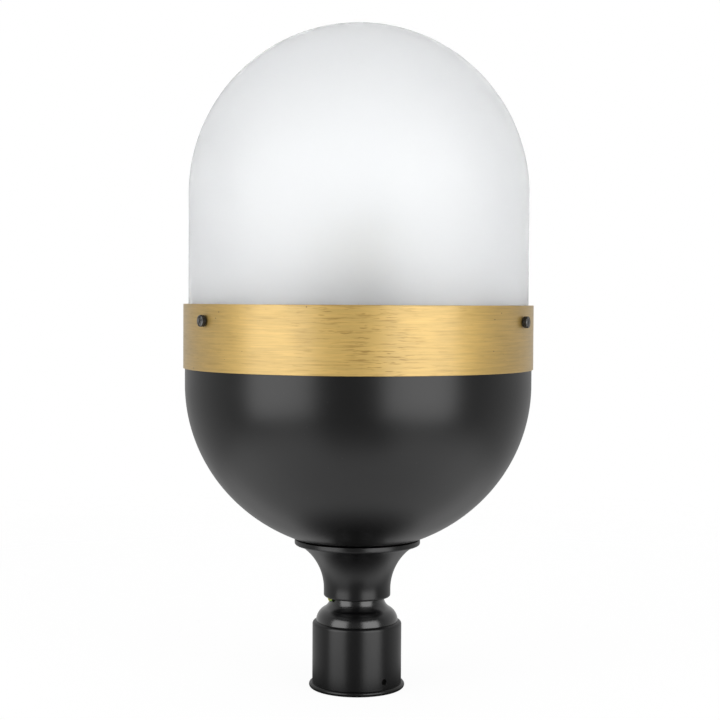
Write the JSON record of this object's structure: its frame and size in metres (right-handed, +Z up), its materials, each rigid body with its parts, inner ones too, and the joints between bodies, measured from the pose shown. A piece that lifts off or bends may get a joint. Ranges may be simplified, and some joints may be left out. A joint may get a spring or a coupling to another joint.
{
  "type": "outdoor post light",
  "caption": "Capsule-shaped post light: frosted glass dome held by screws in a brushed gold band, on a black bowl, bell neck and sleeve that slides over a lamp post.",
  "frame": {"origin": "centre of the post sleeve's mouth, on the plane of its foot", "axes": "+Z up along the post and the light's own axis; -Y is the side the picture shows; +X is its right"},
  "size_m": [0.322, 0.3269, 0.612],
  "materials": {
    "black_coat": "satin black powder coat",
    "gold": "brushed gold, slightly worn",
    "frosted_glass": "frosted white",
    "clear_glass": "clear",
    "zinc_steel": "zinc plated",
    "black_screw": "blackened",
    "seal": "soft grey silicone",
    "white_plastic": "nylon",
    "socket_plastic": "moulded black",
    "candle_plastic": "black tube",
    "brass_shell": "pressed brass",
    "filament": "coated filament",
    "green_screw": "green",
    "black_lead": "insulation",
    "white_lead": "insulation",
    "earth_lead": "yellow-green insulation"
  },
  "bodies": {
    "fitting": {"post_sleeve": "black_coat", "sleeve_cap": "black_coat", "neck_bell": "black_coat", "saucer": "black_coat", "bowl": "black_coat", "cluster_cup": "black_coat", "cluster_plate": "black_coat", "stem_tube": "black_coat", "threaded_rod": "zinc_steel", "lower_nut": "zinc_steel", "lower_washer": "zinc_steel", "neck_spacer": "zinc_steel", "bowl_washer": "zinc_steel", "bowl_nut": "zinc_steel", "rod_top_nut": "zinc_steel", "plate_screws": "zinc_steel", "socket_nipples": "zinc_steel", "nipple_nuts": "zinc_steel", "band_studs": "zinc_steel", "band_nuts": "zinc_steel", "screw_bosses": "zinc_steel", "gold_band": "gold", "glass_gasket": "seal", "bowl_gasket": "seal", "rod_bushing": "white_plastic", "socket_contacts": "brass_shell", "earth_terminal": "brass_shell", "earth_screw": "green_screw", "leads_black": "black_lead", "leads_white": "white_lead", "earth_lead": "earth_lead", "socket_body_1": "socket_plastic", "socket_shell_1": "brass_shell", "candle_sleeve_1": "candle_plastic", "socket_body_2": "socket_plastic", "socket_shell_2": "brass_shell", "candle_sleeve_2": "candle_plastic", "socket_body_3": "socket_plastic", "socket_shell_3": "brass_shell", "candle_sleeve_3": "candle_plastic"},
    "glass": {"glass_dome": "frosted_glass"},
    "glass_screw_1": {"glass_screw_1": "black_screw", "glass_screw_tip_1": "white_plastic"},
    "glass_screw_2": {"glass_screw_2": "black_screw", "glass_screw_tip_2": "white_plastic"},
    "glass_screw_3": {"glass_screw_3": "black_screw", "glass_screw_tip_3": "white_plastic"},
    "grub_screw_1": {"grub_screw_1": "black_screw"},
    "grub_screw_2": {"grub_screw_2": "black_screw"},
    "grub_screw_3": {"grub_screw_3": "black_screw"},
    "bulb_1": {"bulb_base_1": "brass_shell", "bulb_glass_1": "clear_glass", "bulb_filament_1": "filament"},
    "bulb_2": {"bulb_base_2": "brass_shell", "bulb_glass_2": "clear_glass", "bulb_filament_2": "filament"},
    "bulb_3": {"bulb_base_3": "brass_shell", "bulb_glass_3": "clear_glass", "bulb_filament_3": "filament"}
  },
  "joints": [
    {"name": "glass_lift", "type": "slide", "parent": "fitting", "child": "glass", "axis": [0, 0, 1], "range_m": [0, 0.2]},
    {"name": "glass_screw_1_travel", "type": "slide", "parent": "fitting", "child": "glass_screw_1", "axis": [-0.8271, -0.5621, 0], "range_m": [0, 0.003]},
    {"name": "glass_screw_2_travel", "type": "slide", "parent": "fitting", "child": "glass_screw_2", "axis": [0.9003, -0.4352, 0], "range_m": [0, 0.003]},
    {"name": "glass_screw_3_travel", "type": "slide", "parent": "fitting", "child": "glass_screw_3", "axis": [-0.0732, 0.9973, 0], "range_m": [0, 0.003]},
    {"name": "grub_screw_1_travel", "type": "slide", "parent": "fitting", "child": "grub_screw_1", "axis": [-0.606, 0.7955, 0], "range_m": [-0.0015, 0.002]},
    {"name": "grub_screw_2_travel", "type": "slide", "parent": "fitting", "child": "grub_screw_2", "axis": [-0.3859, -0.9225, 0], "range_m": [-0.0015, 0.002]},
    {"name": "grub_screw_3_travel", "type": "slide", "parent": "fitting", "child": "grub_screw_3", "axis": [0.9919, 0.1271, 0], "range_m": [-0.0015, 0.002]},
    {"name": "bulb_1_lift", "type": "slide", "parent": "fitting", "child": "bulb_1", "axis": [0, 0, 1], "range_m": [0, 0.022]},
    {"name": "bulb_2_lift", "type": "slide", "parent": "fitting", "child": "bulb_2", "axis": [0, 0, 1], "range_m": [0, 0.022]},
    {"name": "bulb_3_lift", "type": "slide", "parent": "fitting", "child": "bulb_3", "axis": [0, 0, 1], "range_m": [0, 0.022]}
  ]
}
